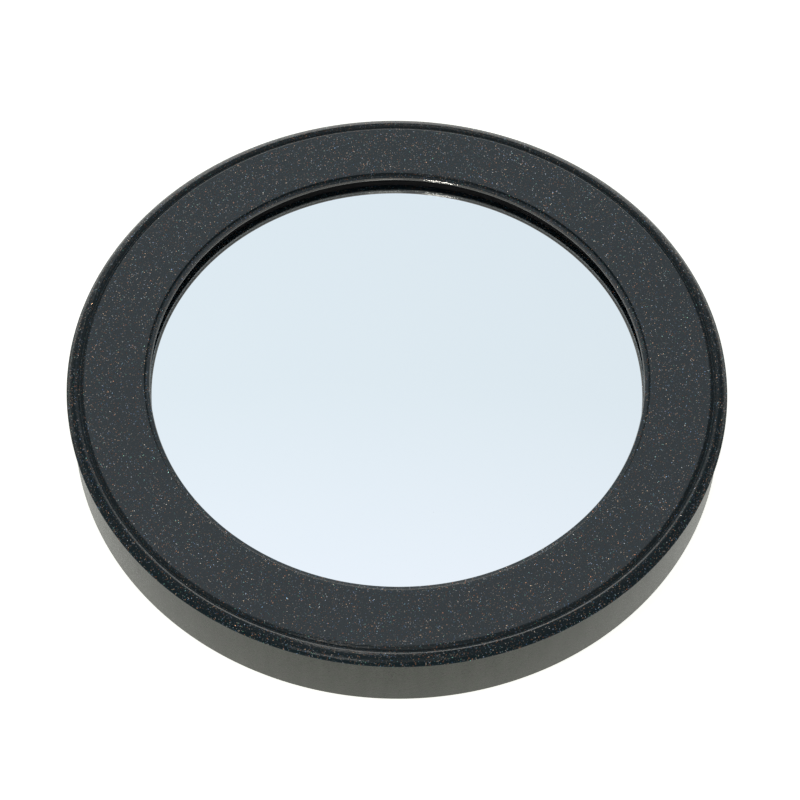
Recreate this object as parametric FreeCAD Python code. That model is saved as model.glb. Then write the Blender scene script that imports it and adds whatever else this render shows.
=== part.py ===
import FreeCAD, Part
import math
import os

# A slip-on glass filter cell for the front of an optical instrument: a mirror-coated
# flat glass held in a coated front bezel, on a felt-lined skirt that slides over a barrel.
# Everything is in millimetres. The axis of the cell is Z, the mirror side faces +Z,
# and the open mouth of the skirt stands on Z = 0.

# Driving dimensions
OVERALL_RADIUS = 60.0
OVERALL_HEIGHT = 14.2

# Front bezel
LIP_RADIUS = 44.85           # clear opening, at the nose of the rolled inner lip
LIP_THICKNESS = 1.3
NOSE_DEPTH = 0.78            # depth of the nose's innermost point below the face
NOSE_FOOT_WIDTH = 0.3        # where the nose's curve ends, outward of the nose and below the face
NOSE_FOOT_DEPTH = 1.2
UNDERSIDE_WIDTH = 0.6        # from the nose out to where the lip's flat underside begins
LAND_EDGE_WIDTH = 0.12       # where the sloping land meets the nose's curve
LAND_EDGE_DEPTH = 0.47
STEP_RADIUS = 45.9           # where the flat face ends and steps down to the land
STEP_WIDTH = 0.17
STEP_DEPTH = 0.28
GROOVE_RADIUS = 57.51        # decorative V-groove near the outer edge of the face
GROOVE_DEPTH = 0.62
GROOVE_FLANK_DEPTH = 0.56    # where the groove's rounded floor meets its flanks
GROOVE_FLOOR_HALF_WIDTH = 0.11
GROOVE_SHOULDER_RADIUS = 57.0  # where the inner flank meets the rounded edge of the face
GROOVE_SHOULDER_DEPTH = 0.13
GROOVE_SHOULDER_WIDTH = 0.35
RIDGE_RADIUS = 58.25         # crest between the groove and the rounded rim
RIDGE_BEVEL_WIDTH = 0.37     # the bevel between the crest and the groove's outer flank
RIDGE_BEVEL_DEPTH = 0.19
RIM_SHOULDER_INSET = 0.65    # a point half way round the rim, in from the outer radius
RIM_SHOULDER_DEPTH = 0.56
RIM_EDGE_INSET = 0.03        # where the rim's curve tightens towards its widest point
RIM_EDGE_DEPTH = 1.38
RIM_WIDEST_DEPTH = 1.52
RIM_DEPTH = 1.73             # depth of the rim, down to the seam with the skirt
RIM_FOOT_RADIUS = 59.8
REGISTER_INNER_RADIUS = 47.7
REGISTER_BOTTOM = 10.4       # the spigot that centres the skirt and backs the glass pocket
LEAD_CHAMFER = 0.3

# Skirt
SKIRT_OUTER_RADIUS = 59.6
SKIRT_INNER_RADIUS = 57.6

# Filter glass and its seat
GLASS_RADIUS = 47.0
GLASS_THICKNESS = 2.0
MIRROR_DEPTH = 2.8           # from the face down to the mirror surface
GLASS_EDGE_CHAMFER = 0.25
FRONT_GASKET_INNER_RADIUS = 46.2
FRONT_GASKET_OUTER_RADIUS = 47.6
REAR_GASKET_INNER_RADIUS = 45.7
REAR_GASKET_OUTER_RADIUS = 47.3
REAR_GASKET_THICKNESS = 0.8
PAD_COUNT = 4
PAD_LENGTH = 8.0
PAD_HEIGHT = 1.4
PAD_BOTTOM_ABOVE_GLASS_BACK = 0.3

# Retaining ring and its screws
RING_INNER_RADIUS = 45.4
RING_OUTER_RADIUS = 51.0
RING_FLANGE_THICKNESS = 1.2
SCREW_COUNT = 6
SCREW_CIRCLE_RADIUS = 49.4
SCREW_LENGTH = 5.0
SCREW_SHANK_RADIUS = 0.98
SCREW_HEAD_RADIUS = 1.9
SCREW_HEAD_RECESS = 0.05     # the heads lie just below the surface of the ring
SCREW_FIRST_ANGLE = 30.0
SOCKET_ACROSS_FLATS = 1.3
SOCKET_DEPTH = 0.75
CLEARANCE_HOLE_RADIUS = 1.1
TAPPED_HOLE_RADIUS = 1.0
TAPPED_HOLE_EXTRA_DEPTH = 0.4
DRILL_OVERRUN = 1.0          # how far the drill passes through each side of the ring

# Felt lining
FELT_COUNT = 4
FELT_THICKNESS = 1.0
FELT_BOTTOM = 0.6
FELT_TOP = 7.0
FELT_ARC_ANGLE = 86.0
FELT_FIRST_ANGLE = 45.0
FELT_EDGE_CHAMFER = 0.25

# Levels worked out from the driving dimensions
FACE_Z = OVERALL_HEIGHT
SEAM_Z = FACE_Z - RIM_DEPTH
LIP_BOTTOM_Z = FACE_Z - LIP_THICKNESS
GLASS_FRONT_Z = FACE_Z - MIRROR_DEPTH
GLASS_BACK_Z = GLASS_FRONT_Z - GLASS_THICKNESS
FLANGE_TOP_Z = GLASS_BACK_Z - REAR_GASKET_THICKNESS
RING_BOTTOM_Z = FLANGE_TOP_Z - RING_FLANGE_THICKNESS

ORIGIN = FreeCAD.Vector(0, 0, 0)
Z_AXIS = FreeCAD.Vector(0, 0, 1)


def at(radius, height):
    """A point of a turned profile, in the XZ plane."""
    return FreeCAD.Vector(radius, 0, height)


def line(start, end):
    return Part.LineSegment(start, end).toShape()


def arc(start, middle, end):
    return Part.Arc(start, middle, end).toShape()


def turned(edges, angle=360.0):
    """Sweep a closed profile about the Z axis into one solid."""
    wire = Part.Wire(edges)
    return Part.Face(wire).revolve(ORIGIN, Z_AXIS, angle)


def turned_polygon(points, angle=360.0):
    """Sweep a straight-sided profile about the Z axis."""
    edges = []
    for index, point in enumerate(points):
        edges.append(line(point, points[(index + 1) % len(points)]))
    return turned(edges, angle)


def rotated(shape, degrees):
    copy = shape.copy()
    copy.rotate(ORIGIN, Z_AXIS, degrees)
    return copy


def around_axis(shape, count, first_angle):
    """Copies of a shape, evenly spaced around the Z axis."""
    return [rotated(shape, first_angle + 360.0 * index / count) for index in range(count)]


def on_screw_circle(shape):
    moved = shape.copy()
    moved.translate(FreeCAD.Vector(SCREW_CIRCLE_RADIUS, 0, 0))
    return around_axis(moved, SCREW_COUNT, SCREW_FIRST_ANGLE)


def arc_from_level(level, end):
    """An arc that leaves one point level with the face and curves down to another."""
    run = end.x - level.x
    fall = level.z - end.z
    radius = (run ** 2 + fall ** 2) / (2 * fall)
    half_angle = math.atan2(fall, abs(run))
    reach = math.copysign(radius * math.sin(half_angle), run)
    middle = at(level.x + reach, level.z - radius * (1 - math.cos(half_angle)))
    return arc(level, middle, end)


def rim_edges(foot, face_end):
    """The rounded rim, the ridge and the groove, from the seam up to the flat face."""
    widest = at(OVERALL_RADIUS, FACE_Z - RIM_WIDEST_DEPTH)
    edge = at(OVERALL_RADIUS - RIM_EDGE_INSET, FACE_Z - RIM_EDGE_DEPTH)
    rim_shoulder = at(OVERALL_RADIUS - RIM_SHOULDER_INSET, FACE_Z - RIM_SHOULDER_DEPTH)
    crest = at(RIDGE_RADIUS, FACE_Z)
    bevel_foot = at(RIDGE_RADIUS - RIDGE_BEVEL_WIDTH, FACE_Z - RIDGE_BEVEL_DEPTH)
    outer_flank = at(GROOVE_RADIUS + GROOVE_FLOOR_HALF_WIDTH, FACE_Z - GROOVE_FLANK_DEPTH)
    inner_flank = at(GROOVE_RADIUS - GROOVE_FLOOR_HALF_WIDTH, FACE_Z - GROOVE_FLANK_DEPTH)
    groove_floor = at(GROOVE_RADIUS, FACE_Z - GROOVE_DEPTH)
    shoulder = at(GROOVE_SHOULDER_RADIUS, FACE_Z - GROOVE_SHOULDER_DEPTH)
    return [
        arc(foot, widest, edge),
        arc(edge, rim_shoulder, crest),
        line(crest, bevel_foot),
        line(bevel_foot, outer_flank),
        arc(outer_flank, groove_floor, inner_flank),
        line(inner_flank, shoulder),
        arc_from_level(face_end, shoulder),
    ]


def lip_edges(face_start, underside_end):
    """The step at the face's inner edge, the sloping land and the rolled nose."""
    land_top = at(STEP_RADIUS - STEP_WIDTH, FACE_Z - STEP_DEPTH)
    land_edge = at(LIP_RADIUS + LAND_EDGE_WIDTH, FACE_Z - LAND_EDGE_DEPTH)
    nose = at(LIP_RADIUS, FACE_Z - NOSE_DEPTH)
    nose_foot = at(LIP_RADIUS + NOSE_FOOT_WIDTH, FACE_Z - NOSE_FOOT_DEPTH)
    underside_start = at(LIP_RADIUS + UNDERSIDE_WIDTH, LIP_BOTTOM_Z)
    return [
        line(face_start, land_top),
        line(land_top, land_edge),
        arc(land_edge, nose, nose_foot),
        line(nose_foot, underside_start),
        line(underside_start, underside_end),
    ]


def front_bezel():
    """The coated front ring, with the spigot behind it that takes the skirt and the glass."""
    foot = at(RIM_FOOT_RADIUS, SEAM_Z)
    face_end = at(GROOVE_SHOULDER_RADIUS - GROOVE_SHOULDER_WIDTH, FACE_Z)
    face_start = at(STEP_RADIUS, FACE_Z)
    underside_end = at(REGISTER_INNER_RADIUS, LIP_BOTTOM_Z)
    register_inner_foot = at(REGISTER_INNER_RADIUS, REGISTER_BOTTOM)
    register_outer_foot = at(SKIRT_INNER_RADIUS - LEAD_CHAMFER, REGISTER_BOTTOM)
    register_lead = at(SKIRT_INNER_RADIUS, REGISTER_BOTTOM + LEAD_CHAMFER)
    register_root = at(SKIRT_INNER_RADIUS, SEAM_Z)
    edges = rim_edges(foot, face_end)
    edges.append(line(face_end, face_start))
    edges.extend(lip_edges(face_start, underside_end))
    edges.append(line(underside_end, register_inner_foot))
    edges.append(line(register_inner_foot, register_outer_foot))
    edges.append(line(register_outer_foot, register_lead))
    edges.append(line(register_lead, register_root))
    edges.append(line(register_root, foot))
    ring = turned(edges)
    hole_top = RING_BOTTOM_Z + SCREW_LENGTH + TAPPED_HOLE_EXTRA_DEPTH
    depth = hole_top - REGISTER_BOTTOM
    hole = Part.makeCylinder(TAPPED_HOLE_RADIUS, depth, FreeCAD.Vector(0, 0, REGISTER_BOTTOM))
    return ring.cut(on_screw_circle(hole))


def skirt_ring():
    """The plain side wall. Its top is pressed over the bezel's spigot."""
    return turned_polygon([
        at(SKIRT_INNER_RADIUS + LEAD_CHAMFER, 0),
        at(SKIRT_OUTER_RADIUS - LEAD_CHAMFER, 0),
        at(SKIRT_OUTER_RADIUS, LEAD_CHAMFER),
        at(SKIRT_OUTER_RADIUS, SEAM_Z - LEAD_CHAMFER),
        at(SKIRT_OUTER_RADIUS - LEAD_CHAMFER, SEAM_Z),
        at(SKIRT_INNER_RADIUS, SEAM_Z),
        at(SKIRT_INNER_RADIUS, LEAD_CHAMFER),
    ])


def filter_glass():
    """The flat glass disc, with ground chamfers; its front surface carries the mirror coating."""
    chamfer = GLASS_EDGE_CHAMFER
    return turned_polygon([
        at(0, GLASS_BACK_Z),
        at(GLASS_RADIUS - chamfer, GLASS_BACK_Z),
        at(GLASS_RADIUS, GLASS_BACK_Z + chamfer),
        at(GLASS_RADIUS, GLASS_FRONT_Z - chamfer),
        at(GLASS_RADIUS - chamfer, GLASS_FRONT_Z),
        at(0, GLASS_FRONT_Z),
    ])


def flat_ring(inner_radius, outer_radius, bottom, top):
    return turned_polygon([
        at(inner_radius, bottom),
        at(outer_radius, bottom),
        at(outer_radius, top),
        at(inner_radius, top),
    ])


def front_gasket():
    """The black gasket between the bezel's lip and the glass, set back from the nose."""
    inner = FRONT_GASKET_INNER_RADIUS
    return flat_ring(inner, FRONT_GASKET_OUTER_RADIUS, GLASS_FRONT_Z, LIP_BOTTOM_Z)


def rear_gasket():
    """The foam ring that presses the glass forward."""
    inner = REAR_GASKET_INNER_RADIUS
    return flat_ring(inner, REAR_GASKET_OUTER_RADIUS, FLANGE_TOP_Z, GLASS_BACK_Z)


def edge_pad():
    """A short pad that centres the glass in its pocket."""
    bottom = GLASS_BACK_Z + PAD_BOTTOM_ABOVE_GLASS_BACK
    angle = math.degrees(PAD_LENGTH / GLASS_RADIUS)
    pad = turned_polygon([
        at(GLASS_RADIUS, bottom),
        at(REGISTER_INNER_RADIUS, bottom),
        at(REGISTER_INNER_RADIUS, bottom + PAD_HEIGHT),
        at(GLASS_RADIUS, bottom + PAD_HEIGHT),
    ], angle)
    return rotated(pad, -angle / 2)


def screw_cone(shank_radius, flare):
    """The countersunk head, a 90 degree cone, grown by flare for the hole that takes it."""
    head_radius = SCREW_HEAD_RADIUS + flare
    bottom = RING_BOTTOM_Z + SCREW_HEAD_RECESS - flare
    return Part.makeCone(head_radius, shank_radius, head_radius - shank_radius,
                         FreeCAD.Vector(0, 0, bottom))


def retaining_ring():
    """An L-section ring behind the glass: a wall around the pocket and a flange under it."""
    ring = turned_polygon([
        at(RING_INNER_RADIUS + LEAD_CHAMFER, RING_BOTTOM_Z),
        at(RING_OUTER_RADIUS - LEAD_CHAMFER, RING_BOTTOM_Z),
        at(RING_OUTER_RADIUS, RING_BOTTOM_Z + LEAD_CHAMFER),
        at(RING_OUTER_RADIUS, REGISTER_BOTTOM),
        at(REGISTER_INNER_RADIUS, REGISTER_BOTTOM),
        at(REGISTER_INNER_RADIUS, FLANGE_TOP_Z),
        at(RING_INNER_RADIUS, FLANGE_TOP_Z),
        at(RING_INNER_RADIUS, RING_BOTTOM_Z + LEAD_CHAMFER),
    ])
    bottom = RING_BOTTOM_Z - DRILL_OVERRUN
    drill = Part.makeCylinder(CLEARANCE_HOLE_RADIUS, REGISTER_BOTTOM - bottom + DRILL_OVERRUN,
                              FreeCAD.Vector(0, 0, bottom))
    hole = drill.fuse(screw_cone(SCREW_SHANK_RADIUS, SCREW_HEAD_RECESS))
    return ring.cut(on_screw_circle(hole))


def retaining_screw():
    """A countersunk machine screw with a hexagon socket."""
    head_bottom = RING_BOTTOM_Z + SCREW_HEAD_RECESS
    shank = Part.makeCylinder(SCREW_SHANK_RADIUS, SCREW_LENGTH, FreeCAD.Vector(0, 0, head_bottom))
    body = shank.fuse(screw_cone(SCREW_SHANK_RADIUS, 0.0))
    corner_radius = SOCKET_ACROSS_FLATS / math.sqrt(3)
    corners = []
    for index in range(7):
        turn = math.radians(60.0 * index)
        x = corner_radius * math.cos(turn)
        y = corner_radius * math.sin(turn)
        corners.append(FreeCAD.Vector(x, y, head_bottom))
    socket = Part.Face(Part.makePolygon(corners)).extrude(FreeCAD.Vector(0, 0, SOCKET_DEPTH))
    return body.cut(socket).removeSplitter()


def felt_strip():
    """One strip of the felt that lines the skirt, with its long edges trimmed at a slant."""
    inner = SKIRT_INNER_RADIUS - FELT_THICKNESS
    slant = FELT_EDGE_CHAMFER
    strip = turned_polygon([
        at(inner, FELT_BOTTOM + slant),
        at(inner + slant, FELT_BOTTOM),
        at(SKIRT_INNER_RADIUS, FELT_BOTTOM),
        at(SKIRT_INNER_RADIUS, FELT_TOP),
        at(inner + slant, FELT_TOP),
        at(inner, FELT_TOP - slant),
    ], FELT_ARC_ANGLE)
    return rotated(strip, -FELT_ARC_ANGLE / 2)


def build_nodes():
    nodes = {
        "front_bezel": front_bezel(),
        "skirt_ring": skirt_ring(),
        "filter_glass": filter_glass(),
        "front_gasket": front_gasket(),
        "rear_gasket": rear_gasket(),
        "retaining_ring": retaining_ring(),
        "retaining_screws": Part.makeCompound(on_screw_circle(retaining_screw())),
    }
    for number, strip in enumerate(around_axis(felt_strip(), FELT_COUNT, FELT_FIRST_ANGLE), 1):
        nodes["felt_strip_" + str(number)] = strip
    for number, pad in enumerate(around_axis(edge_pad(), PAD_COUNT, 0.0), 1):
        nodes["edge_pad_" + str(number)] = pad
    return nodes


def write_parts():
    os.makedirs("parts", exist_ok=True)
    for name, shape in build_nodes().items():
        shape.exportStep("parts/" + name + ".step")
        box = shape.BoundBox
        print(name, "solids", len(shape.Solids), "valid", shape.isValid(),
              "volume", round(shape.Volume, 1), "z", round(box.ZMin, 2), round(box.ZMax, 2))


write_parts()
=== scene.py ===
import math

import bmesh
import bpy
from mathutils import Matrix, Vector, noise


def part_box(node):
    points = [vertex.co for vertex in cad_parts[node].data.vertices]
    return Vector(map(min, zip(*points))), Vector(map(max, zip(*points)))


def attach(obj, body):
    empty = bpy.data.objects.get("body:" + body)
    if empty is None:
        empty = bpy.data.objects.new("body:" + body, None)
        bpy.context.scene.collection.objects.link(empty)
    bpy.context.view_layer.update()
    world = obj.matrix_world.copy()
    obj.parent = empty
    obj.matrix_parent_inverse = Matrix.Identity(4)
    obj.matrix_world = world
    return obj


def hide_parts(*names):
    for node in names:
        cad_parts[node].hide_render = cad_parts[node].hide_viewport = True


# A slip-on glass filter cell, mirror side up on its open rim. Everything is in metres,
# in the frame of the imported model: Z is the cell's axis and the rim stands on Z = 0.

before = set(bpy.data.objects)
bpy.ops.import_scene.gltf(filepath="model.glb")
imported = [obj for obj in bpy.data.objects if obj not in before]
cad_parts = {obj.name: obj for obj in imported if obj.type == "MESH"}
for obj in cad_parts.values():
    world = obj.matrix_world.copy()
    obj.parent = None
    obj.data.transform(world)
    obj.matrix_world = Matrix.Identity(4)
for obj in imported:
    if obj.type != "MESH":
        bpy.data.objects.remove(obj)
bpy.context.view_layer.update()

MM = 0.001

# Sizes read from the frame. The rim keeps a hair inside its box.
BOX_CLEARANCE = 0.002 * MM
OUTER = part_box("front_bezel")[1].y - BOX_CLEARANCE
FACE_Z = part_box("front_bezel")[1].z
REGISTER_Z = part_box("front_bezel")[0].z
SKIRT_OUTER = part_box("skirt_ring")[1].y
SEAM_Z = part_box("skirt_ring")[1].z
GLASS_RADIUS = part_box("filter_glass")[1].y
GLASS_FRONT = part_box("filter_glass")[1].z
GLASS_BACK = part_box("filter_glass")[0].z
LIP_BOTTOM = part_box("front_gasket")[1].z
FRONT_GASKET_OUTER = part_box("front_gasket")[1].y
FOAM_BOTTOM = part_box("rear_gasket")[0].z
FOAM_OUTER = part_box("rear_gasket")[1].y
RING_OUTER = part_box("retaining_ring")[1].y
RING_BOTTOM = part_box("retaining_ring")[0].z
SCREW_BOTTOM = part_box("retaining_screws")[0].z
SCREW_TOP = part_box("retaining_screws")[1].z
FELT_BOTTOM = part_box("felt_strip_1")[0].z
FELT_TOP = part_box("felt_strip_1")[1].z
PAD_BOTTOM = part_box("edge_pad_1")[0].z
PAD_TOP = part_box("edge_pad_1")[1].z

# The bezel's section, finer than boxes can tell
LIP_RADIUS = 44.85 * MM
LAND_EDGE = (0.12 * MM, 0.47 * MM)
NOSE_DEPTH = 0.78 * MM
NOSE_FOOT = (0.30 * MM, 1.20 * MM)
UNDERSIDE_WIDTH = 0.6 * MM
STEP_RADIUS = 45.9 * MM
STEP_WIDTH = 0.17 * MM
STEP_DEPTH = 0.28 * MM
GROOVE_RADIUS = 57.51 * MM
GROOVE_DEPTH = 0.62 * MM
GROOVE_FLANK_DEPTH = 0.56 * MM
GROOVE_FLOOR_HALF_WIDTH = 0.11 * MM
GROOVE_SHOULDER = (57.0 * MM, 0.13 * MM)
GROOVE_SHOULDER_WIDTH = 0.35 * MM
RIDGE_RADIUS = 58.25 * MM
RIDGE_BEVEL = (0.37 * MM, 0.19 * MM)
RIM_SHOULDER = (0.65 * MM, 0.56 * MM)
RIM_EDGE = (0.03 * MM, 1.38 * MM)
RIM_WIDEST_DEPTH = 1.52 * MM
RIM_FOOT_INSET = 0.2 * MM
REGISTER_INNER = 47.7 * MM
CHAMFER = 0.3 * MM

# Other sizes inside the boxes
SKIRT_WALL = 2.0 * MM
SKIRT_INNER = SKIRT_OUTER - SKIRT_WALL
GLASS_CHAMFER = 0.25 * MM
FRONT_GASKET_INNER = 46.2 * MM
FOAM_INNER = 45.7 * MM
RING_INNER = 45.4 * MM
SCREW_COUNT = 6
SCREW_CIRCLE = 49.4 * MM
SCREW_FIRST_ANGLE = math.radians(30.0)
SCREW_HEAD_RADIUS = 1.9 * MM
SCREW_SHANK_RADIUS = 0.98 * MM
SOCKET_ACROSS_FLATS = 1.3 * MM
SOCKET_DEPTH = 0.75 * MM
TAPPED_HOLE_RADIUS = 1.0 * MM
TAPPED_HOLE_EXTRA_DEPTH = 0.4 * MM
CLEARANCE_HOLE_RADIUS = 1.1 * MM
FELT_COUNT = 4
FELT_THICKNESS = 1.0 * MM
FELT_ARC = math.radians(86.0)
FELT_FIRST_ANGLE = math.radians(45.0)
PAD_COUNT = 4
PAD_LENGTH = 8.0 * MM
FILM_THICKNESS = 0.026 * MM
GLASS_TO_FILM = 0.004 * MM
BARE_EDGE = 0.1 * MM
FOAM_BULGE = 0.12 * MM

# How finely rings are meshed, all the way round
TURN_STEPS = 720
RING_STEPS = 480
SEAT_STEPS = 360

FULL_TURN = 2 * math.pi


# ---------------------------------------------------------------- outline helpers

def arc_points(start, middle, end, steps):
    """Points of the circle through three (radius, height) pairs, from start to end."""
    (ax, ay), (bx, by), (cx, cy) = start, middle, end
    d = 2 * (ax * (by - cy) + bx * (cy - ay) + cx * (ay - by))
    a2 = ax * ax + ay * ay
    b2 = bx * bx + by * by
    c2 = cx * cx + cy * cy
    ux = (a2 * (by - cy) + b2 * (cy - ay) + c2 * (ay - by)) / d
    uy = (a2 * (cx - bx) + b2 * (ax - cx) + c2 * (bx - ax)) / d
    radius = math.hypot(ax - ux, ay - uy)
    first = math.atan2(ay - uy, ax - ux)
    half = math.atan2(by - uy, bx - ux)
    last = math.atan2(cy - uy, cx - ux)
    turn = (last - first) % FULL_TURN
    if (half - first) % FULL_TURN > turn:
        turn -= FULL_TURN
    points = []
    for step in range(steps + 1):
        angle = first + turn * step / steps
        points.append((ux + radius * math.cos(angle), uy + radius * math.sin(angle)))
    return points


def level_arc(level, end, steps):
    """Points of an arc that leaves `level` horizontally and curves down to `end`."""
    run = end[0] - level[0]
    fall = level[1] - end[1]
    radius = (run * run + fall * fall) / (2 * fall)
    half = math.atan2(fall, abs(run))
    middle_x = level[0] + math.copysign(radius * math.sin(half), run)
    middle_y = level[1] - radius * (1 - math.cos(half))
    return arc_points(level, (middle_x, middle_y), end, steps)


def straight(start, end, steps):
    """Points between two corners, without the corners themselves."""
    points = []
    for step in range(1, steps):
        t = step / steps
        points.append((start[0] + (end[0] - start[0]) * t, start[1] + (end[1] - start[1]) * t))
    return points


def without_repeats(points):
    """The outline without points that coincide with the one before them."""
    tolerance = 1e-7
    kept = []
    for point in points:
        if not kept or math.dist(point, kept[-1]) > tolerance:
            kept.append(point)
    if math.dist(kept[0], kept[-1]) < tolerance:
        kept.pop()
    return kept


def softened(points, size, steps=4):
    """Round every corner of a closed (radius, height) outline by about `size`."""
    rounded = []
    count = len(points)
    for index, corner in enumerate(points):
        before = Vector(points[index - 1])
        after = Vector(points[(index + 1) % count])
        here = Vector(corner)
        reach = min(size, (before - here).length / 3, (after - here).length / 3)
        start = here + (before - here).normalized() * reach
        end = here + (after - here).normalized() * reach
        for step in range(steps + 1):
            t = step / steps
            rounded.append(tuple((1 - t) ** 2 * start + 2 * t * (1 - t) * here + t * t * end))
    return rounded


# ------------------------------------------------------------------- mesh helpers

def cleaned(mesh):
    """Join coincident points and turn every face outwards."""
    made = bmesh.new()
    made.from_mesh(mesh)
    bmesh.ops.remove_doubles(made, verts=made.verts, dist=1e-8)
    bmesh.ops.recalc_face_normals(made, faces=made.faces)
    made.to_mesh(mesh)
    made.free()
    return mesh


def turned_mesh(name, outline, steps=TURN_STEPS, first=0.0, angle=FULL_TURN, shift=None):
    """Sweep a closed (radius, height) outline about Z. A part turn gets end caps.

    shift, if given, moves each point: it takes the share of the turn, radius and height."""
    outline = without_repeats(outline)
    full = angle > FULL_TURN - 1e-6
    rows = steps if full else steps + 1
    count = len(outline)
    vertices = []
    for row in range(rows):
        turn = first + angle * row / steps
        for radius, height in outline:
            if shift:
                radius, height = shift(row / steps, radius, height)
            vertices.append((radius * math.cos(turn), radius * math.sin(turn), height))
    faces = []
    for row in range(steps):
        here = row * count
        there = ((row + 1) % rows) * count
        for column in range(count):
            right = (column + 1) % count
            faces.append((here + column, there + column, there + right, here + right))
    if not full:
        faces.append(tuple(range(count)))
        faces.append(tuple(range(rows * count - 1, (rows - 1) * count - 1, -1)))
    mesh = bpy.data.meshes.new(name)
    mesh.from_pydata(vertices, [], faces)
    return cleaned(mesh)


def lofted_mesh(name, rings):
    """Skin a list of rings of points. A ring of one point closes that end."""
    made = bmesh.new()
    rows = [[made.verts.new(point) for point in ring] for ring in rings]
    for lower, upper in zip(rows, rows[1:]):
        count = max(len(lower), len(upper))
        for step in range(count):
            after = (step + 1) % count
            corners = [lower[step % len(lower)], upper[step % len(upper)],
                       upper[after % len(upper)], lower[after % len(lower)]]
            made.faces.new(list(dict.fromkeys(corners)))
    bmesh.ops.recalc_face_normals(made, faces=made.faces)
    mesh = bpy.data.meshes.new(name)
    made.to_mesh(mesh)
    made.free()
    return mesh


def ring_of(radius, height, steps, centre=(0.0, 0.0), hexagon=False):
    """A ring of points: a circle, or a hexagon whose corners lie on the circle."""
    if radius < 1e-9:
        return [(centre[0], centre[1], height)]
    points = []
    for step in range(steps):
        turn = FULL_TURN * step / steps
        reach = radius
        if hexagon:
            side = (turn % (math.pi / 3)) - math.pi / 6
            reach = radius * math.cos(math.pi / 6) / math.cos(side)
        points.append((centre[0] + reach * math.cos(turn),
                       centre[1] + reach * math.sin(turn), height))
    return points


def disc_mesh(name, outline, steps=SEAT_STEPS, centre=(0.0, 0.0)):
    """Sweep an open (radius, height) outline whose two ends lie on the axis."""
    rings = [ring_of(radius, height, steps, centre) for radius, height in outline]
    return lofted_mesh(name, rings)


def joined(name, meshes):
    """One mesh of several separate shells."""
    made = bmesh.new()
    for mesh in meshes:
        made.from_mesh(mesh)
        bpy.data.meshes.remove(mesh)
    mesh = bpy.data.meshes.new(name)
    made.to_mesh(mesh)
    made.free()
    return mesh


def drilled(name, mesh, cutter):
    """The mesh with the cutter's shells taken out of it."""
    body = bpy.data.objects.new(name + "_blank", mesh)
    drill = bpy.data.objects.new(name + "_drill", cutter)
    for item in (body, drill):
        bpy.context.scene.collection.objects.link(item)
    boolean = body.modifiers.new("drill", "BOOLEAN")
    boolean.operation = "DIFFERENCE"
    boolean.solver = "EXACT"
    boolean.object = drill
    graph = bpy.context.evaluated_depsgraph_get()
    result = bpy.data.meshes.new_from_object(body.evaluated_get(graph))
    result.name = name
    for item in (body, drill):
        bpy.data.objects.remove(item)
    return result


def add_piece(name, mesh, material, slot, *nodes, smooth_angle=32.0):
    """Link a finished mesh with its material and body, and hide the CAD nodes it stands for. The
    slot is not used.
    """
    for polygon in mesh.polygons:
        polygon.use_smooth = True
    mesh.set_sharp_from_angle(angle=math.radians(smooth_angle))
    piece = bpy.data.objects.new(name, mesh)
    bpy.context.scene.collection.objects.link(piece)
    mesh.materials.clear()
    mesh.materials.append(material)
    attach(piece, "root")
    if nodes:
        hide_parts(*nodes)
    return piece


# --------------------------------------------------------------- material helpers

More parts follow.
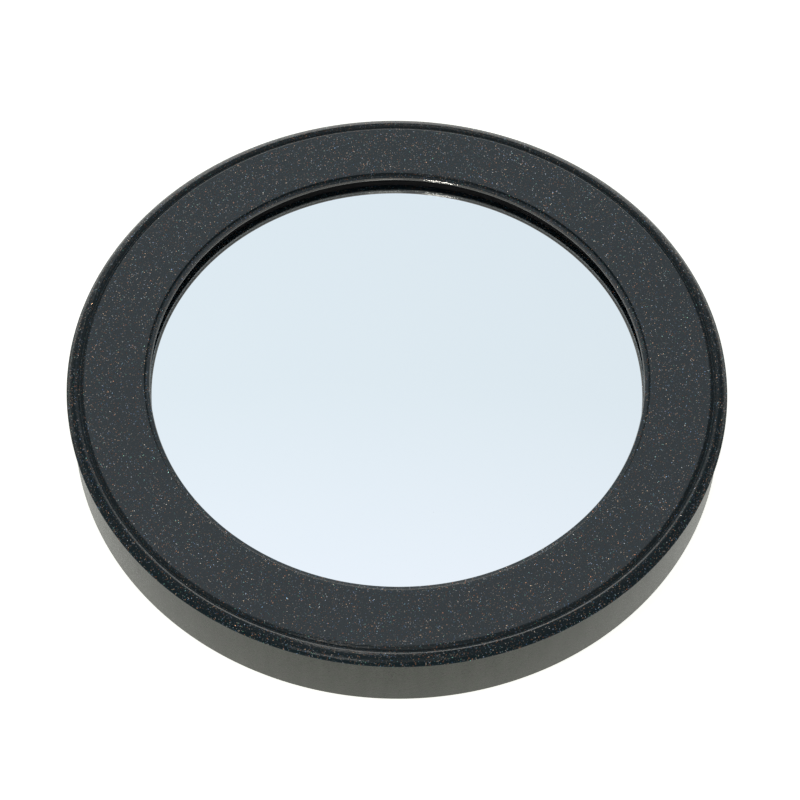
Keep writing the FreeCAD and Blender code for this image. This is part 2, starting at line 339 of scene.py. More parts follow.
class Nodes:
    """A short way to write the node tree of a material or a world."""

    def __init__(self, owner, shader):
        owner.use_nodes = True
        self.owner = owner
        self.tree = owner.node_tree
        self.shader = self.tree.nodes[shader]

    def add(self, kind, values=None, **settings):
        node = self.tree.nodes.new(kind)
        for key, value in settings.items():
            setattr(node, key, value)
        for key, value in (values or {}).items():
            self.give(node, key, value)
        return node

    def give(self, node, key, value):
        """Link a socket to an input, or set a constant on it."""
        if isinstance(value, bpy.types.NodeSocket):
            self.tree.links.new(value, node.inputs[key])
        else:
            node.inputs[key].default_value = value

    def set(self, key, value):
        """Give a value to an input of the shader."""
        self.give(self.shader, key, value)

    def place(self):
        """The point being shaded, in metres from the cell's foot."""
        return self.add("ShaderNodeTexCoord").outputs["Object"]

    def stretched(self, rise):
        """The point with its height scaled by `rise`: under 1 gives upright features."""
        values = {"Vector": self.place(), "Scale": (1.0, 1.0, rise)}
        return self.add("ShaderNodeMapping", values).outputs[0]

    def noise(self, size, detail=2.0, rough=0.5, vector=None):
        """Noise whose lumps are about `size` metres across."""
        return self.add("ShaderNodeTexNoise", {
            "Vector": vector or self.place(), "Scale": 1.0 / size,
            "Detail": detail, "Roughness": rough}).outputs["Fac"]

    def cells(self, size):
        """Cells about `size` metres across."""
        return self.add("ShaderNodeTexVoronoi", {"Vector": self.place(), "Scale": 1.0 / size})

    def math(self, operation, first, second=0.0, third=0.0):
        values = {0: first, 1: second, 2: third}
        return self.add("ShaderNodeMath", values, operation=operation).outputs[0]

    def vector(self, operation, first, second=None, scale=None):
        node = self.add("ShaderNodeVectorMath", {0: first}, operation=operation)
        if second is not None:
            self.give(node, 1, second)
        if scale is not None:
            self.give(node, "Scale", scale)
        return node.outputs[0]

    def ramp(self, value, low, high, to_low=0.0, to_high=1.0):
        """Map low..high to to_low..to_high, and hold the end values beyond."""
        return self.add("ShaderNodeMapRange", {
            "Value": value, "From Min": low, "From Max": high,
            "To Min": to_low, "To Max": to_high}).outputs["Result"]

    def mix(self, factor, first, second):
        """Blend two colours. The colour sockets of a mix node come after its other kinds."""
        values = {0: factor, 6: first, 7: second}
        return self.add("ShaderNodeMix", values, data_type="RGBA").outputs[2]

    def colours(self, value, *stops):
        """A colour ramp through (position, colour) stops."""
        node = self.add("ShaderNodeValToRGB", {"Fac": value})
        elements = node.color_ramp.elements
        while len(elements) < len(stops):
            elements.new(0.5)
        for element, (position, colour) in zip(elements, stops):
            element.position = position
            element.color = rgb(*colour)
        return node.outputs["Color"]

    def bump(self, height, depth, strength=1.0):
        """A normal bent as if `height` from 0 to 1 stood `depth` metres proud."""
        values = {"Height": height, "Distance": depth, "Strength": strength}
        return self.add("ShaderNodeBump", values).outputs["Normal"]

    def axis_distance(self):
        """How far a point lies from the cell's axis."""
        split = self.add("ShaderNodeSeparateXYZ", {"Vector": self.place()})
        x, y = split.outputs["X"], split.outputs["Y"]
        return self.math("SQRT", self.math("MULTIPLY_ADD", y, y, self.math("MULTIPLY", x, x)))

    def level(self):
        """How high a point lies."""
        return self.add("ShaderNodeSeparateXYZ", {"Vector": self.place()}).outputs["Z"]


def material_nodes(name):
    """The node tree of a new material."""
    return Nodes(bpy.data.materials.new(name), "Principled BSDF")


def rgb(red, green, blue):
    """An opaque colour."""
    return (red, green, blue, 1.0)


# ---------------------------------------------------------------------- materials

def coat_flakes(n):
    """The coat's grains: how each one leans, how brightly it flashes, and its tint."""
    grains = n.cells(0.20 * MM)
    chance = n.add("ShaderNodeTexWhiteNoise", {"Vector": grains.outputs["Color"]},
                   noise_dimensions="3D")
    lean = n.vector("SUBTRACT", grains.outputs["Color"], (0.5, 0.5, 0.5))
    inside = n.ramp(grains.outputs["Distance"], 0.50, 0.30)
    pick = n.math("POWER", n.ramp(chance.outputs["Value"], 0.45, 1.0), 3.0)
    bright = n.math("MULTIPLY", pick, inside)
    hue = n.add("ShaderNodeSeparateColor", {"Color": chance.outputs["Color"]}).outputs["Blue"]
    tint = n.colours(hue, (0.0, (0.95, 0.30, 0.12)), (0.30, (0.98, 0.66, 0.40)),
                     (0.55, (0.85, 0.86, 0.86)), (0.80, (0.28, 0.50, 1.0)),
                     (1.0, (0.40, 0.90, 0.60)))
    return lean, bright, tint


def coat_wear(n, away, level, lumps):
    """How far the coat is rubbed bright: patchily, and only on the nose of the lip."""
    nose = n.ramp(away, LIP_RADIUS + 0.50 * MM, LIP_RADIUS + 0.35 * MM)
    below_land = n.ramp(level, FACE_Z - 0.45 * MM, FACE_Z - 0.51 * MM)
    patchy = n.ramp(lumps, 0.3, 0.6, 0.75, 1.0)
    return n.math("MULTIPLY", n.math("MULTIPLY", nose, below_land), patchy)


def coat_shine(n, away, level):
    """How strongly the coat reflects, as painted light: most on the crest as a painted highlight,
    least in the creases and at the foot as painted shade.
    """
    # Painted shade: the coat barely reflects low on the rim, which draws a dark line at its foot.
    foot = n.ramp(level, FACE_Z - 0.95 * MM, FACE_Z - 0.62 * MM, 0.06, 0.91)
    # Painted highlight and shade across the rim: the crest reflects most, the groove and the
    # outer bead less.
    rim = n.colours(n.ramp(away, RIDGE_RADIUS - 1.6 * MM, RIDGE_RADIUS + 1.2 * MM),
                    (0.07, (0.55, 0.55, 0.55)), (0.14, (0.28, 0.28, 0.28)),
                    (0.36, (0.28, 0.28, 0.28)), (0.55, (0.62, 0.62, 0.62)),
                    (0.63, (0.42, 0.42, 0.42)), (0.77, (0.30, 0.30, 0.30)))
    # Painted shade in the crease of the step at the lip's edge.
    crease = n.math("MULTIPLY",
                    n.ramp(away, STEP_RADIUS - 0.35 * MM, STEP_RADIUS - 0.15 * MM),
                    n.ramp(away, STEP_RADIUS + 0.08 * MM, STEP_RADIUS))
    open_to_light = n.math("MULTIPLY_ADD", crease, -0.75, 1.0)
    return n.math("MULTIPLY", foot, n.math("MULTIPLY", rim, open_to_light))


def textured_coat():
    """Black powder coat: an even dark skin full of fine bright flakes of many colours.

    The lip is smoother than the face, its nose is rubbed bright, and the groove's
    colour is lifted with painted light."""
    n = material_nodes("textured_coat")
    away = n.axis_distance()
    level = n.level()
    lean, bright, tint = coat_flakes(n)
    coarse = n.ramp(away, LIP_RADIUS + 0.12 * MM, LIP_RADIUS + 0.6 * MM, 0.04, 1.0)

    fine = n.noise(0.17 * MM, detail=2.0, rough=0.6)
    lumps = n.noise(0.55 * MM, detail=2.0)
    height = n.math("MULTIPLY_ADD", lumps, 0.8, fine)
    skin = n.bump(height, 0.030 * MM, n.math("MULTIPLY", coarse, 0.5))
    tilt = n.math("MULTIPLY_ADD", n.ramp(bright, 0.0, 0.5), 1.20, 0.09)
    leaning = n.vector("SCALE", lean, scale=n.math("MULTIPLY", tilt, coarse))
    n.set("Normal", n.vector("NORMALIZE", n.vector("ADD", skin, leaning)))

    broad = n.noise(12.0 * MM, detail=3.0)
    dark = n.mix(broad, rgb(0.0096, 0.0187, 0.0232), rgb(0.0138, 0.0238, 0.0287))
    # Painted light: the base colour is lifted inside the groove.
    groove = n.colours(n.ramp(away, GROOVE_RADIUS - 0.6 * MM, GROOVE_RADIUS + 0.6 * MM),
                       (0.0, (0, 0, 0)), (0.3, (1, 1, 1)), (0.7, (1, 1, 1)), (1.0, (0, 0, 0)))
    groove_painted_light = n.mix(groove, dark, rgb(0.030, 0.042, 0.047))
    flaked = n.mix(n.math("MULTIPLY", bright, 0.6), groove_painted_light, tint)
    rubbed = coat_wear(n, away, level, lumps)
    n.set("Base Color", n.mix(rubbed, flaked, rgb(0.50, 0.49, 0.46)))
    n.set("Metallic", n.math("MULTIPLY", n.math("MAXIMUM", bright, rubbed), 0.8))

    satin = n.ramp(fine, 0.3, 0.7, 0.18, 0.27)
    n.set("Roughness", n.math("MULTIPLY", satin, n.math("MULTIPLY_ADD", coarse, 0.65, 0.35)))
    n.set("Specular IOR Level", coat_shine(n, away, level))
    n.set("IOR", 1.5)
    return n.owner


def satin_black():
    """The satin coat of the side wall: a fine grain, faint upright streaks and mottling."""
    n = material_nodes("satin_black")
    grain = n.noise(0.30 * MM, detail=3.0, rough=0.75)
    streaks = n.noise(2.6 * MM, detail=3.0, rough=0.6, vector=n.stretched(0.16))
    broad = n.noise(7.0 * MM, detail=4.0, rough=0.6)
    n.set("Base Color", n.mix(broad, rgb(0.0062, 0.0092, 0.0055), rgb(0.0105, 0.0138, 0.0095)))
    n.set("Roughness", n.ramp(grain, 0.3, 0.7, 0.22, 0.48))
    mottle = n.ramp(n.noise(1.1 * MM, detail=4.0, rough=0.7), 0.36, 0.64)
    cast = n.mix(mottle, rgb(0.84, 0.97, 0.76), rgb(1.04, 0.96, 0.92))
    dim_cast = n.vector("SCALE", cast, scale=0.82)
    n.set("Specular Tint", n.mix(n.ramp(grain, 0.35, 0.65), dim_cast, cast))
    n.set("Specular IOR Level", n.math("MULTIPLY", n.ramp(grain, 0.30, 0.70, 0.24, 0.74),
                                       n.ramp(streaks, 0.35, 0.65, 0.90, 1.06)))
    n.set("Normal", n.bump(grain, 0.040 * MM, 0.95))
    n.set("IOR", 1.5)
    return n.owner


def mirror_coat():
    """The vacuum-coated front of the glass, very slightly uneven, with a few dust specks."""
    n = material_nodes("mirror_coat")
    wave = n.noise(16.0 * MM, detail=1.0)
    dust = n.cells(7.0 * MM)
    speck = n.ramp(dust.outputs["Distance"], 0.013, 0.008)
    cloud = n.noise(20.0 * MM)
    n.set("Base Color", n.mix(cloud, rgb(0.925, 0.955, 0.975), rgb(0.935, 0.96, 0.975)))
    n.set("Metallic", 1.0)
    n.set("Roughness", n.ramp(speck, 0.0, 1.0, 0.015, 0.6))
    n.set("Normal", n.bump(wave, 0.02 * MM, 0.3))
    return n.owner


def clear_glass():
    """Plate glass with its faint green cast."""
    n = material_nodes("filter_glass")
    n.set("Base Color", n.mix(n.noise(4.0 * MM), rgb(0.86, 0.96, 0.92), rgb(0.90, 0.98, 0.95)))
    n.set("Transmission Weight", 1.0)
    n.set("IOR", 1.52)
    n.set("Roughness", n.ramp(n.noise(0.4 * MM), 0.0, 1.0, 0.0, 0.03))
    return n.owner


def black_rubber():
    """Dull rubber with a fine grain."""
    n = material_nodes("black_rubber")
    grain = n.noise(0.25 * MM, detail=3.0)
    n.set("Base Color", n.mix(grain, rgb(0.004, 0.004, 0.005), rgb(0.012, 0.012, 0.013)))
    n.set("Roughness", n.ramp(grain, 0.0, 1.0, 0.7, 0.95))
    n.set("Normal", n.bump(grain, 0.03 * MM, 0.6))
    return n.owner


def grey_foam():
    """Closed-cell foam: a skin of small pores."""
    n = material_nodes("grey_foam")
    pores = n.cells(0.22 * MM).outputs["Distance"]
    n.set("Base Color", n.mix(pores, rgb(0.03, 0.03, 0.033), rgb(0.12, 0.12, 0.13)))
    n.set("Roughness", n.ramp(pores, 0.0, 1.0, 0.95, 0.8))
    n.set("Normal", n.bump(pores, 0.1 * MM, 0.8))
    return n.owner


def anodised_black():
    """Black anodised aluminium with the fine concentric lines of the lathe."""
    n = material_nodes("anodised_black")
    line_spacing = 0.11 * MM
    lines = n.math("SINE", n.math("MULTIPLY", n.axis_distance(), FULL_TURN / line_spacing))
    uneven = n.noise(1.6 * MM, detail=3.0)
    n.set("Base Color", n.mix(uneven, rgb(0.012, 0.012, 0.014), rgb(0.028, 0.027, 0.030)))
    n.set("Metallic", 0.35)
    n.set("Roughness", n.ramp(uneven, 0.3, 0.7, 0.34, 0.46))
    n.set("Normal", n.bump(n.math("MULTIPLY", lines, uneven), 0.008 * MM, 0.6))
    return n.owner


def black_steel():
    """Black oxide with a slight sheen where the driver and the hole have rubbed it."""
    n = material_nodes("black_steel")
    grain = n.noise(0.2 * MM, detail=3.0)
    rubbed = n.ramp(n.noise(0.7 * MM, detail=2.0), 0.55, 0.75)
    dark = n.mix(grain, rgb(0.030, 0.030, 0.033), rgb(0.060, 0.058, 0.060))
    n.set("Base Color", n.mix(rubbed, dark, rgb(0.13, 0.125, 0.12)))
    n.set("Metallic", 0.85)
    n.set("Roughness", n.ramp(grain, 0.2, 0.8, 0.28, 0.45))
    n.set("Normal", n.bump(grain, 0.01 * MM, 0.5))
    return n.owner


def black_felt():
    """Pressed wool felt: matted fibres along the strip, with a few paler hairs."""
    n = material_nodes("black_felt")
    mat = n.noise(0.9 * MM, detail=2.0)
    along = n.stretched(3.2)
    fibres = n.noise(0.24 * MM, detail=5.0, rough=0.75, vector=along)
    pale = n.ramp(n.noise(0.16 * MM, detail=2.0, vector=along), 0.60, 0.70, 0.0, 0.7)
    dark = n.mix(n.ramp(fibres, 0.38, 0.68), rgb(0.003, 0.003, 0.0035), rgb(0.030, 0.030, 0.032))
    n.set("Base Color", n.mix(pale, dark, rgb(0.085, 0.083, 0.080)))
    n.set("Roughness", n.ramp(fibres, 0.0, 1.0, 0.90, 1.0))
    n.set("Specular IOR Level", 0.15)
    n.set("Sheen Weight", 0.10)
    n.set("Sheen Roughness", 0.6)
    n.set("Normal", n.bump(n.math("MULTIPLY_ADD", mat, 0.6, fibres), 0.25 * MM, 1.0))
    return n.owner


def white_silicone():
    """Milky silicone, a little translucent."""
    n = material_nodes("white_pad")
    cloud = n.noise(0.6 * MM, detail=2.0)
    n.set("Base Color", n.mix(cloud, rgb(0.62, 0.62, 0.58), rgb(0.78, 0.78, 0.74)))
    n.set("Roughness", n.ramp(cloud, 0.0, 1.0, 0.4, 0.55))
    n.set("Subsurface Weight", 0.2)
    n.set("Normal", n.bump(cloud, 0.02 * MM, 0.4))
    return n.owner


# ------------------------------------------------------------------- bezel, skirt

def rim_outline():
    """The rounded rim, the ridge and the groove, from the seam up to the flat face."""
    foot = (OUTER - RIM_FOOT_INSET, SEAM_Z)
    widest = (OUTER, FACE_Z - RIM_WIDEST_DEPTH)
    edge = (OUTER - RIM_EDGE[0], FACE_Z - RIM_EDGE[1])
    rim_shoulder = (OUTER - RIM_SHOULDER[0], FACE_Z - RIM_SHOULDER[1])
    crest = (RIDGE_RADIUS, FACE_Z)
    bevel_foot = (RIDGE_RADIUS - RIDGE_BEVEL[0], FACE_Z - RIDGE_BEVEL[1])
    outer_flank = (GROOVE_RADIUS + GROOVE_FLOOR_HALF_WIDTH, FACE_Z - GROOVE_FLANK_DEPTH)
    inner_flank = (GROOVE_RADIUS - GROOVE_FLOOR_HALF_WIDTH, FACE_Z - GROOVE_FLANK_DEPTH)
    shoulder = (GROOVE_SHOULDER[0], FACE_Z - GROOVE_SHOULDER[1])
    face_end = (shoulder[0] - GROOVE_SHOULDER_WIDTH, FACE_Z)
    points = arc_points(foot, widest, edge, steps=8)
    points += arc_points(edge, rim_shoulder, crest, steps=16)
    points += straight(crest, bevel_foot, steps=3) + [bevel_foot]
    floor = (GROOVE_RADIUS, FACE_Z - GROOVE_DEPTH)
    points += arc_points(outer_flank, floor, inner_flank, steps=8)
    points += reversed(level_arc(face_end, shoulder, steps=10))
    return points


def lip_outline():
    """The step at the face's inner edge, the sloping land, the nose and the underside."""
    step_top = (STEP_RADIUS, FACE_Z)
    step_foot = (STEP_RADIUS - STEP_WIDTH, FACE_Z - STEP_DEPTH)
    ease = 0.03 * MM
    land_edge = (LIP_RADIUS + LAND_EDGE[0], FACE_Z - LAND_EDGE[1])
    nose = (LIP_RADIUS, FACE_Z - NOSE_DEPTH)
    nose_foot = (LIP_RADIUS + NOSE_FOOT[0], FACE_Z - NOSE_FOOT[1])
    points = [(step_top[0] + ease, FACE_Z), (step_top[0] - ease / 3, FACE_Z - ease / 2)]
    points += [(step_foot[0] + ease / 2, step_foot[1] + ease)]
    points += [(step_foot[0] - ease, step_foot[1] - ease / 6)]
    points += straight(points[-1], land_edge, steps=3)
    points += arc_points(land_edge, nose, nose_foot, steps=14)
    points += [(LIP_RADIUS + UNDERSIDE_WIDTH, LIP_BOTTOM), (REGISTER_INNER, LIP_BOTTOM)]
    return points


def tapped_holes():
    """Cutters for the screw holes in the bezel's spigot."""
    top = SCREW_TOP + TAPPED_HOLE_EXTRA_DEPTH
    bottom = REGISTER_Z - CHAMFER
    outline = [(0, bottom), (TAPPED_HOLE_RADIUS, bottom), (TAPPED_HOLE_RADIUS, top), (0, top)]
    holes = [disc_mesh("hole", outline, steps=32, centre=centre) for centre in screw_centres()]
    return joined("tapped_holes", holes)


def make_bezel(material):
    """The turned front ring, with the screw holes drilled in its spigot."""
    points = rim_outline()
    points += straight(points[-1], (STEP_RADIUS, FACE_Z), steps=12)
    points += lip_outline()
    points += [(REGISTER_INNER, REGISTER_Z), (SKIRT_INNER - CHAMFER, REGISTER_Z)]
    points += [(SKIRT_INNER, REGISTER_Z + CHAMFER), (SKIRT_INNER, SEAM_Z)]
    mesh = drilled("bezel", turned_mesh("bezel_blank", points), tapped_holes())
    add_piece("bezel", mesh, material, "textured_coat", "front_bezel")


def make_skirt(material):
    """The plain side wall, chamfered at its open rim and at the seam."""
    outline = softened([
        (SKIRT_INNER + CHAMFER, 0.0), (SKIRT_OUTER - CHAMFER, 0.0),
        (SKIRT_OUTER, CHAMFER), (SKIRT_OUTER, SEAM_Z - CHAMFER),
        (SKIRT_OUTER - CHAMFER, SEAM_Z), (SKIRT_INNER, SEAM_Z),
        (SKIRT_INNER, CHAMFER)], size=0.12 * MM)
    add_piece("skirt", turned_mesh("skirt", outline), material, "satin_black", "skirt_ring")


# ------------------------------------------------------------- glass and its seat

def make_glass(glass, coat):
    """The glass disc, and its mirror coating as a thin film on its front."""
    film_back = GLASS_FRONT - FILM_THICKNESS
    top = film_back - GLASS_TO_FILM
    outline = [(0, GLASS_BACK), (GLASS_RADIUS - GLASS_CHAMFER, GLASS_BACK),
               (GLASS_RADIUS, GLASS_BACK + GLASS_CHAMFER), (GLASS_RADIUS, top - GLASS_CHAMFER),
               (GLASS_RADIUS - GLASS_CHAMFER, top), (0, top)]
    disc = disc_mesh("glass_disc", outline)
    add_piece("glass_disc", disc, glass, "mirror_glass", "filter_glass")
    edge = GLASS_RADIUS - GLASS_CHAMFER - BARE_EDGE
    film = [(0, film_back), (edge, film_back), (edge, GLASS_FRONT), (0, GLASS_FRONT)]
    add_piece("mirror_film", disc_mesh("mirror_film", film), coat, "mirror_glass")


def boxed(inner, outer, bottom, top):
    """A rectangular outline."""
    return [(inner, bottom), (outer, bottom), (outer, top), (inner, top)]


def make_gaskets(rubber, foam):
    """The rubber ring in front of the glass and the foam ring behind it."""
    front = boxed(FRONT_GASKET_INNER, FRONT_GASKET_OUTER, GLASS_FRONT, LIP_BOTTOM)
    mesh = turned_mesh("lip_gasket", softened(front, size=0.3 * MM), SEAT_STEPS)
    add_piece("lip_gasket", mesh, rubber, "black_rubber", "front_gasket")
    back = softened(boxed(FOAM_INNER, FOAM_OUTER, FOAM_BOTTOM, GLASS_BACK), size=0.25 * MM)
    waves = 9

    def squeezed(share, radius, height):
        """Foam bulges unevenly into the light opening where it is pressed."""
        turn = FULL_TURN * share
        wave = noise.noise(Vector((waves * math.cos(turn), waves * math.sin(turn), 0.0)))
        inward = (FOAM_OUTER - radius) / (FOAM_OUTER - FOAM_INNER)
        return radius + FOAM_BULGE * inward * (0.5 + 0.5 * wave), height

    mesh = turned_mesh("foam_ring", back, RING_STEPS, shift=squeezed)
    piece = add_piece("foam_ring", mesh, foam, "grey_foam", "rear_gasket")


def make_edge_pads(material):
    """Short silicone pads between the glass's edge and its pocket, rounded at both ends."""
    angle = PAD_LENGTH / GLASS_RADIUS
    outline = boxed(GLASS_RADIUS, REGISTER_INNER, PAD_BOTTOM, PAD_TOP)
    outline = softened(outline, size=0.15 * MM)
    middle = (PAD_BOTTOM + PAD_TOP) / 2
    end_share = 0.06
    end_height = 0.55

    def tapered(share, radius, height):
        """Round each end off, down to a part of the full height."""
        past_end = max(0.0, 1 - min(share, 1 - share) / end_share)
        keep = end_height + (1 - end_height) * math.sqrt(1 - past_end ** 2)
        return radius, middle + (height - middle) * keep

    for number in range(1, PAD_COUNT + 1):
        first = FULL_TURN * (number - 1) / PAD_COUNT - angle / 2
        name = "pad_" + str(number)
        mesh = turned_mesh(name, outline, steps=64, first=first, angle=angle, shift=tapered)
        add_piece(name, mesh, material, "white_pad", "edge_pad_" + str(number))


# ------------------------------------------------------ retaining ring and screws

def screw_centres():
    """Where the screws stand, evenly spaced round the ring."""
    centres = []
    for index in range(SCREW_COUNT):
        turn = SCREW_FIRST_ANGLE + FULL_TURN * index / SCREW_COUNT
        centres.append((SCREW_CIRCLE * math.cos(turn), SCREW_CIRCLE * math.sin(turn)))
    return centres


def make_retaining_ring(material):
    """The L-section ring, with six countersunk holes."""
    outline = softened([
        (RING_INNER + CHAMFER, RING_BOTTOM), (RING_OUTER - CHAMFER, RING_BOTTOM),
        (RING_OUTER, RING_BOTTOM + CHAMFER), (RING_OUTER, REGISTER_Z),
        (REGISTER_INNER, REGISTER_Z), (REGISTER_INNER, FOAM_BOTTOM),
        (RING_INNER, FOAM_BOTTOM), (RING_INNER, RING_BOTTOM + CHAMFER)], size=0.1 * MM)
    clearance = 0.05 * MM
    overrun = 1.0 * MM
    head_radius = SCREW_HEAD_RADIUS + clearance
    cone_top = RING_BOTTOM + head_radius - CLEARANCE_HOLE_RADIUS
    cutter = [(0, RING_BOTTOM - overrun), (head_radius, RING_BOTTOM - overrun),
              (head_radius, RING_BOTTOM), (CLEARANCE_HOLE_RADIUS, cone_top),
              (CLEARANCE_HOLE_RADIUS, REGISTER_Z + overrun), (0, REGISTER_Z + overrun)]
    holes = [disc_mesh("hole", cutter, steps=64, centre=centre) for centre in screw_centres()]
    blank = turned_mesh("ring_blank", outline, RING_STEPS)
    mesh = drilled("ring", blank, joined("ring_holes", holes))
    add_piece("ring", mesh, material, "anodised_black", "retaining_ring")


def screw_mesh(centre):
    """A countersunk screw, head down, with a hexagon socket.

    Each row of the profile is a radius, a height and whether the ring is a hexagon."""
    socket = SOCKET_ACROSS_FLATS / math.sqrt(3)
    face = SCREW_BOTTOM
    soft = 0.06 * MM
    cone_top = face + SCREW_HEAD_RADIUS - SCREW_SHANK_RADIUS
    steps = 48
    profile = [
        (0, face + SOCKET_DEPTH, False), (socket, face + SOCKET_DEPTH - soft, True),
        (socket, face + soft, True), (socket + soft, face, True),
        (socket + 3 * soft, face, False), (SCREW_HEAD_RADIUS - soft, face, False),
        (SCREW_HEAD_RADIUS, face + soft, False), (SCREW_SHANK_RADIUS, cone_top + soft, False),
        (SCREW_SHANK_RADIUS, SCREW_TOP - 4 * soft, False),
        (SCREW_SHANK_RADIUS - 4 * soft, SCREW_TOP, False), (0, SCREW_TOP, False)]
    return lofted_mesh("screw", [ring_of(radius, height, steps, centre, hexagon)
                                 for radius, height, hexagon in profile])


def make_screws(material):
    """All six screws as one piece, as they are one node of the frame."""
    mesh = joined("ring_screws", [screw_mesh(centre) for centre in screw_centres()])
    add_piece("ring_screws", mesh, material, "black_steel", "retaining_screws",
              smooth_angle=25.0)


# -------------------------------------------------------------------------- felt

def make_felt(material):
    """Four strips of felt, matted and uneven on their inner side and ragged at their edges."""
    inner = SKIRT_INNER - FELT_THICKNESS
    slant = 0.25 * MM
    middle = (FELT_BOTTOM + FELT_TOP) / 2
    edge_starts = (FELT_TOP - FELT_BOTTOM) / 2 - 1.5 * slant
    low = (inner, FELT_BOTTOM + slant)
    high = (inner, FELT_TOP - slant)
    outline = [low, (inner + slant, FELT_BOTTOM), (SKIRT_INNER, FELT_BOTTOM),
               (SKIRT_INNER, FELT_TOP), (inner + slant, FELT_TOP), high]
    outline += straight(high, low, steps=22)
    for number in range(1, FELT_COUNT + 1):
        first = FELT_FIRST_ANGLE + FULL_TURN * (number - 1) / FELT_COUNT - FELT_ARC / 2

        def matted(share, radius, height):
            """Push the inner side back unevenly, and the loose edges in."""
            turn = first + FELT_ARC * share
            spot = Vector((radius * math.cos(turn), radius * math.sin(turn), height)) / MM
            loose = (SKIRT_INNER - radius) / FELT_THICKNESS * MM
            broad_lumps = noise.noise(spot * 0.7) * 0.05
            fine_lumps = noise.noise(spot * 2.6) * 0.045
            pressed = radius + loose * abs(broad_lumps + fine_lumps)
            if abs(height - middle) <= edge_starts:
                return pressed, height
            ragged = loose * abs(noise.noise(spot * 1.9 + Vector((7, 3, 1)))) * 0.06
            return pressed, height - math.copysign(ragged, height - middle)

        name = "felt_" + str(number)
        mesh = turned_mesh(name, outline, steps=280, first=first, angle=FELT_ARC, shift=matted)
        add_piece(name, mesh, material, "black_felt", "felt_strip_" + str(number),
                  smooth_angle=60.0)


def make_pieces():
    """The whole cell, each piece with its material."""
    make_bezel(textured_coat())
    make_skirt(satin_black())
    make_glass(clear_glass(), mirror_coat())
    make_gaskets(black_rubber(), grey_foam())
    make_edge_pads(white_silicone())
    make_retaining_ring(anodised_black())
    make_screws(black_steel())
    make_felt(black_felt())


# ------------------------------------------------------------ floor, light, camera

def floor_paper():
    """Pale paper that glows a little, so that it shows as white."""
    n = material_nodes("floor_paper")
    n.set("Base Color", n.mix(n.noise(0.3), rgb(0.86, 0.86, 0.85), rgb(0.87, 0.87, 0.86)))
    n.set("Roughness", 0.9)
    n.set("Specular IOR Level", 0.1)
    n.set("Emission Color", rgb(1.0, 1.0, 0.94))
    n.set("Emission Strength", 0.86)
    return n.owner


def stage_mesh(name, vertices, faces, material):
    """A mesh of the setting, which is no part of the object."""
    mesh = bpy.data.meshes.new(name)
    mesh.from_pydata(vertices, [], faces)
    mesh.materials.append(material)
    item = bpy.data.objects.new(name, mesh)
    bpy.context.scene.collection.objects.link(item)
    return item


def make_floor():
    """A sheet of pale paper, and a wall of it far off that only the camera sees."""
    paper = floor_paper()
    below = -0.01 * MM
    reach = 4.0
    corners = [(-reach, -reach, below), (reach, -reach, below),
               (reach, reach, below), (-reach, reach, below)]
    stage_mesh("floor", corners, [(0, 1, 2, 3)], paper)
    steps = 48
    low = ring_of(reach, below, steps)
    high = ring_of(reach, reach, steps)
    faces = []
    for step in range(steps):
        after = (step + 1) % steps
        faces.append((step, after, steps + after, steps + step))
    backdrop = stage_mesh("backdrop", low + high, faces, paper)
    backdrop.visible_glossy = False
    backdrop.visible_diffuse = False
    backdrop.visible_transmission = False
    backdrop.visible_shadow = False


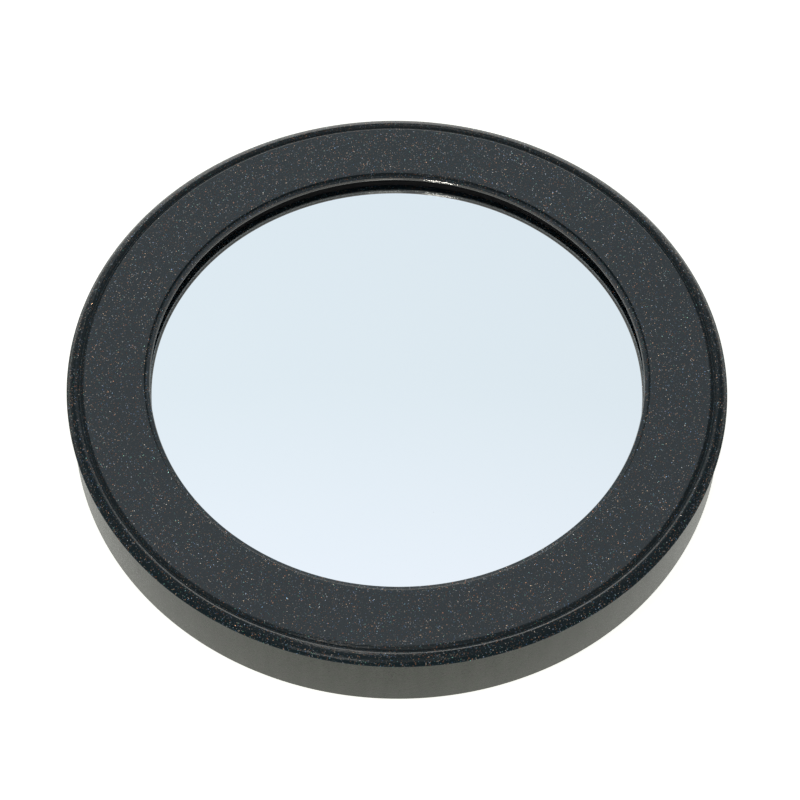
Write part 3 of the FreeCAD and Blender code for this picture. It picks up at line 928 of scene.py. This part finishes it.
def make_world():
    """A soft studio: a narrow pale sky ahead of the camera, and a dim room behind it.

    Both are colour ramps over how steeply a direction rises."""
    world = bpy.data.worlds.new("studio")
    bpy.context.scene.world = world
    n = Nodes(world, "Background")
    direction = n.add("ShaderNodeTexCoord").outputs["Generated"]
    split = n.add("ShaderNodeSeparateXYZ", {"Vector": direction})
    height = split.outputs["Z"]
    strength = 3.2

    def scaled(*stops):
        """Colour stops that the strength brings back to the brightness written here."""
        return [(place, tuple(part / strength for part in colour)) for place, colour in stops]

    sky = n.colours(height, *scaled(
        (0.0, (3.20, 3.10, 2.90)), (0.22, (2.30, 2.24, 2.15)), (0.42, (1.35, 1.35, 1.33)),
        (0.62, (0.66, 0.80, 0.88)), (0.78, (0.765, 0.840, 0.890)), (0.825, (0.785, 0.858, 0.905)),
        (0.865, (0.870, 0.922, 0.985)), (0.95, (1.00, 1.03, 1.07))))
    # The sky is a little brighter on the left, and fades out to both sides
    slant = n.ramp(split.outputs["X"], -1.0, 1.0, 1.2, 0.8)
    spread = n.ramp(n.math("ABSOLUTE", split.outputs["X"]), 0.28, 0.64, 1.0, 0.13)
    uneven = n.vector("SCALE", sky, scale=n.math("MULTIPLY", slant, spread))
    room = n.colours(height, *scaled(
        (0.16, (0.01, 0.01, 0.01)), (0.32, (0.30, 0.29, 0.28)), (0.50, (0.16, 0.16, 0.16)),
        (0.75, (0.22, 0.24, 0.25)), (0.92, (0.40, 0.43, 0.44)), (0.965, (0.020, 0.021, 0.023))))
    ahead = n.ramp(split.outputs["Y"], 0.10, 0.34)
    n.set("Color", n.mix(ahead, room, uneven))
    n.set("Strength", strength)


def add_lamp(name, place, width, depth, power):
    """A flat lamp that faces the cell."""
    lamp = bpy.data.lights.new(name, "AREA")
    lamp.shape = "RECTANGLE"
    lamp.size = width
    lamp.size_y = depth
    lamp.energy = power
    lamp.color = (1.0, 0.97, 0.92)
    item = bpy.data.objects.new(name, lamp)
    item.location = place
    item.rotation_euler = place.to_track_quat("Z", "Y").to_euler()
    bpy.context.scene.collection.objects.link(item)


def make_lights():
    """A low lamp on the camera's side, a small faint one overhead, a wide one by the camera."""
    add_lamp("key", Vector((-85, -300, 110)) * MM, 60 * MM, 12 * MM, 0.12)
    add_lamp("top", Vector((-40, -95, 330)) * MM, 15 * MM, 15 * MM, 0.07)
    add_lamp("fill", Vector((45, -375, 250)) * MM, 100 * MM, 100 * MM, 0.04)


def make_camera():
    """A long lens about four diameters away, 55 degrees above the horizon."""
    data = bpy.data.cameras.new("camera")
    data.sensor_width = 36.0
    data.lens = 116.4
    data.clip_start = 10 * MM
    camera = bpy.data.objects.new("camera", data)
    bpy.context.scene.collection.objects.link(camera)
    distance = 469.6 * MM
    elevation = math.radians(55.34)
    target = Vector((0, 0, FACE_Z))
    forward = Vector((0, math.cos(elevation), -math.sin(elevation)))
    right = Vector((1, 0, 0))
    up = right.cross(forward)
    # The lens isn't aimed quite at the middle of the face, nor held quite level
    pan, tilt, roll = (math.radians(angle) for angle in (-0.069, -0.662, -0.909))
    turn = (Matrix.Rotation(pan, 3, up) @ Matrix.Rotation(tilt, 3, right)
            @ Matrix.Rotation(roll, 3, forward))
    axes = Matrix((turn @ right, turn @ up, -(turn @ forward))).transposed()
    camera.matrix_world = Matrix.Translation(target - forward * distance) @ axes.to_4x4()
    bpy.context.scene.camera = camera


make_pieces()
make_floor()
make_world()
make_lights()
make_camera()
bpy.context.scene.view_settings.view_transform = "Standard"
